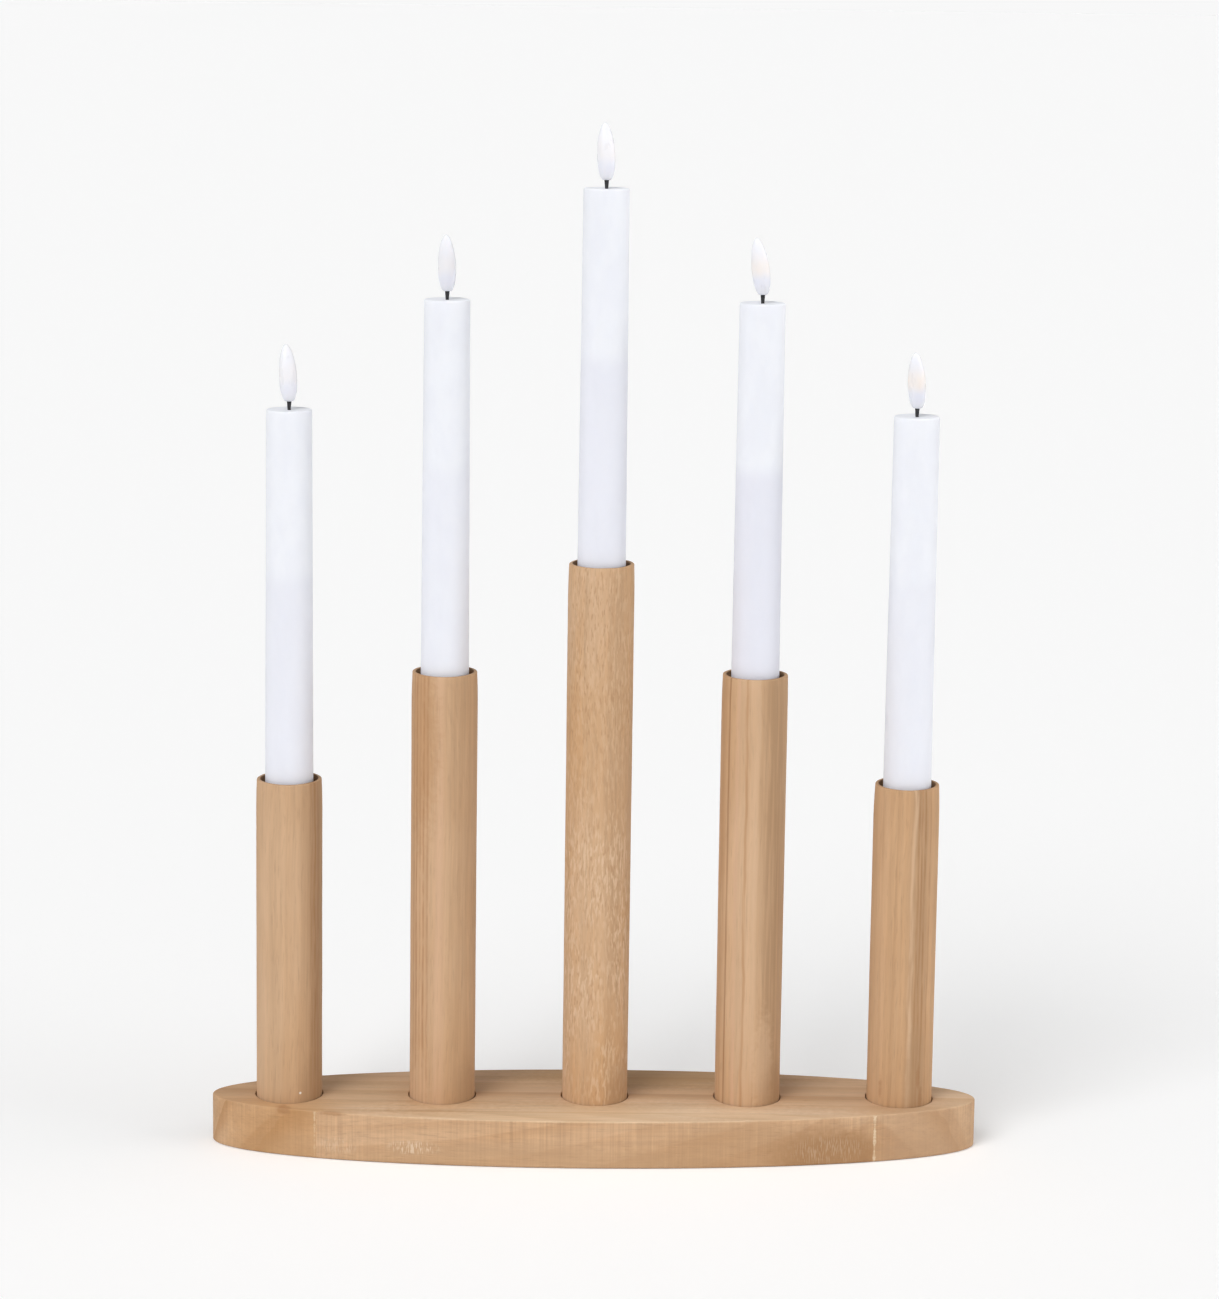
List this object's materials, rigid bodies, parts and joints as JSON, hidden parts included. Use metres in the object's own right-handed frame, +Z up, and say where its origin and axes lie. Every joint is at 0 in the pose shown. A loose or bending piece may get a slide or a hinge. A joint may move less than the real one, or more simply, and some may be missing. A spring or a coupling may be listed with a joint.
{
  "type": "advent candle holder",
  "caption": "Oval wooden base with a row of plug-in wooden tubes, tallest in the middle, each holding a battery taper candle with a milky flame.",
  "frame": {"origin": "middle of the base's underside", "axes": "+X along the row of tubes, to the right seen from the front; -Y towards the front; +Z up"},
  "size_m": [0.35, 0.074, 0.467],
  "materials": {
    "base_wood": "matte, unvarnished",
    "tube_wood": "matte, unvarnished",
    "wax": "satin wax",
    "flame": "milky, translucent",
    "wick": "matte",
    "core_plastic": "moulded",
    "cell": "satin can",
    "board": "solder mask",
    "contact": "plated",
    "led": "clear lens",
    "cap": "moulded",
    "switch": "moulded"
  },
  "bodies": {
    "base": {"base_middle_board": "base_wood", "base_front_board": "base_wood", "base_rear_board": "base_wood"},
    "left_outer_tube": {"left_outer_tube": "tube_wood"},
    "left_outer_candle": {"left_outer_wax_body": "wax", "left_outer_core": "core_plastic", "left_outer_cells": "cell", "left_outer_circuit_board": "board", "left_outer_led": "led", "left_outer_wick": "wick", "left_outer_flame": "flame"},
    "left_outer_cap": {"left_outer_battery_cap": "cap", "left_outer_battery_contact": "contact"},
    "left_outer_switch": {"left_outer_switch": "switch"},
    "left_inner_tube": {"left_inner_tube": "tube_wood"},
    "left_inner_candle": {"left_inner_wax_body": "wax", "left_inner_core": "core_plastic", "left_inner_cells": "cell", "left_inner_circuit_board": "board", "left_inner_led": "led", "left_inner_wick": "wick", "left_inner_flame": "flame"},
    "left_inner_cap": {"left_inner_battery_cap": "cap", "left_inner_battery_contact": "contact"},
    "left_inner_switch": {"left_inner_switch": "switch"},
    "middle_tube": {"middle_tube": "tube_wood"},
    "middle_candle": {"middle_wax_body": "wax", "middle_core": "core_plastic", "middle_cells": "cell", "middle_circuit_board": "board", "middle_led": "led", "middle_wick": "wick", "middle_flame": "flame"},
    "middle_cap": {"middle_battery_cap": "cap", "middle_battery_contact": "contact"},
    "middle_switch": {"middle_switch": "switch"},
    "right_inner_tube": {"right_inner_tube": "tube_wood"},
    "right_inner_candle": {"right_inner_wax_body": "wax", "right_inner_core": "core_plastic", "right_inner_cells": "cell", "right_inner_circuit_board": "board", "right_inner_led": "led", "right_inner_wick": "wick", "right_inner_flame": "flame"},
    "right_inner_cap": {"right_inner_battery_cap": "cap", "right_inner_battery_contact": "contact"},
    "right_inner_switch": {"right_inner_switch": "switch"},
    "right_outer_tube": {"right_outer_tube": "tube_wood"},
    "right_outer_candle": {"right_outer_wax_body": "wax", "right_outer_core": "core_plastic", "right_outer_cells": "cell", "right_outer_circuit_board": "board", "right_outer_led": "led", "right_outer_wick": "wick", "right_outer_flame": "flame"},
    "right_outer_cap": {"right_outer_battery_cap": "cap", "right_outer_battery_contact": "contact"},
    "right_outer_switch": {"right_outer_switch": "switch"}
  },
  "joints": [
    {"name": "left_outer_tube_lift", "type": "slide", "parent": "base", "child": "left_outer_tube", "axis": [0, 0, 1], "range_m": [0, 0.04]},
    {"name": "left_outer_candle_lift", "type": "slide", "parent": "left_outer_tube", "child": "left_outer_candle", "axis": [0, 0, 1], "range_m": [0, 0.06]},
    {"name": "left_outer_cap_twist", "type": "hinge", "parent": "left_outer_candle", "child": "left_outer_cap", "pos_m": [-0.14, 0, 0.138], "axis": [0, 0, 1], "range_deg": [0, 40]},
    {"name": "left_outer_switch_slide", "type": "slide", "parent": "left_outer_cap", "child": "left_outer_switch", "axis": [-0.515, 0.8572, 0], "range_m": [0, 0.003]},
    {"name": "left_inner_tube_lift", "type": "slide", "parent": "base", "child": "left_inner_tube", "axis": [0, 0, 1], "range_m": [0, 0.04]},
    {"name": "left_inner_candle_lift", "type": "slide", "parent": "left_inner_tube", "child": "left_inner_candle", "axis": [0, 0, 1], "range_m": [0, 0.06]},
    {"name": "left_inner_cap_twist", "type": "hinge", "parent": "left_inner_candle", "child": "left_inner_cap", "pos_m": [-0.07, 0, 0.188], "axis": [0, 0, 1], "range_deg": [0, 40]},
    {"name": "left_inner_switch_slide", "type": "slide", "parent": "left_inner_cap", "child": "left_inner_switch", "axis": [-0.1908, -0.9816, 0], "range_m": [0, 0.003]},
    {"name": "middle_tube_lift", "type": "slide", "parent": "base", "child": "middle_tube", "axis": [0, 0, 1], "range_m": [0, 0.04]},
    {"name": "middle_candle_lift", "type": "slide", "parent": "middle_tube", "child": "middle_candle", "axis": [0, 0, 1], "range_m": [0, 0.06]},
    {"name": "middle_cap_twist", "type": "hinge", "parent": "middle_candle", "child": "middle_cap", "pos_m": [0, 0, 0.238], "axis": [0, 0, 1], "range_deg": [0, 40]},
    {"name": "middle_switch_slide", "type": "slide", "parent": "middle_cap", "child": "middle_switch", "axis": [-0.309, 0.9511, 0], "range_m": [0, 0.003]},
    {"name": "right_inner_tube_lift", "type": "slide", "parent": "base", "child": "right_inner_tube", "axis": [0, 0, 1], "range_m": [0, 0.04]},
    {"name": "right_inner_candle_lift", "type": "slide", "parent": "right_inner_tube", "child": "right_inner_candle", "axis": [0, 0, 1], "range_m": [0, 0.06]},
    {"name": "right_inner_cap_twist", "type": "hinge", "parent": "right_inner_candle", "child": "right_inner_cap", "pos_m": [0.07, 0, 0.188], "axis": [0, 0, 1], "range_deg": [0, 40]},
    {"name": "right_inner_switch_slide", "type": "slide", "parent": "right_inner_cap", "child": "right_inner_switch", "axis": [-1, 0, 0], "range_m": [0, 0.003]},
    {"name": "right_outer_tube_lift", "type": "slide", "parent": "base", "child": "right_outer_tube", "axis": [0, 0, 1], "range_m": [0, 0.04]},
    {"name": "right_outer_candle_lift", "type": "slide", "parent": "right_outer_tube", "child": "right_outer_candle", "axis": [0, 0, 1], "range_m": [0, 0.06]},
    {"name": "right_outer_cap_twist", "type": "hinge", "parent": "right_outer_candle", "child": "right_outer_cap", "pos_m": [0.14, 0, 0.138], "axis": [0, 0, 1], "range_deg": [0, 40]},
    {"name": "right_outer_switch_slide", "type": "slide", "parent": "right_outer_cap", "child": "right_outer_switch", "axis": [-0.5, -0.866, 0], "range_m": [0, 0.003]}
  ]
}
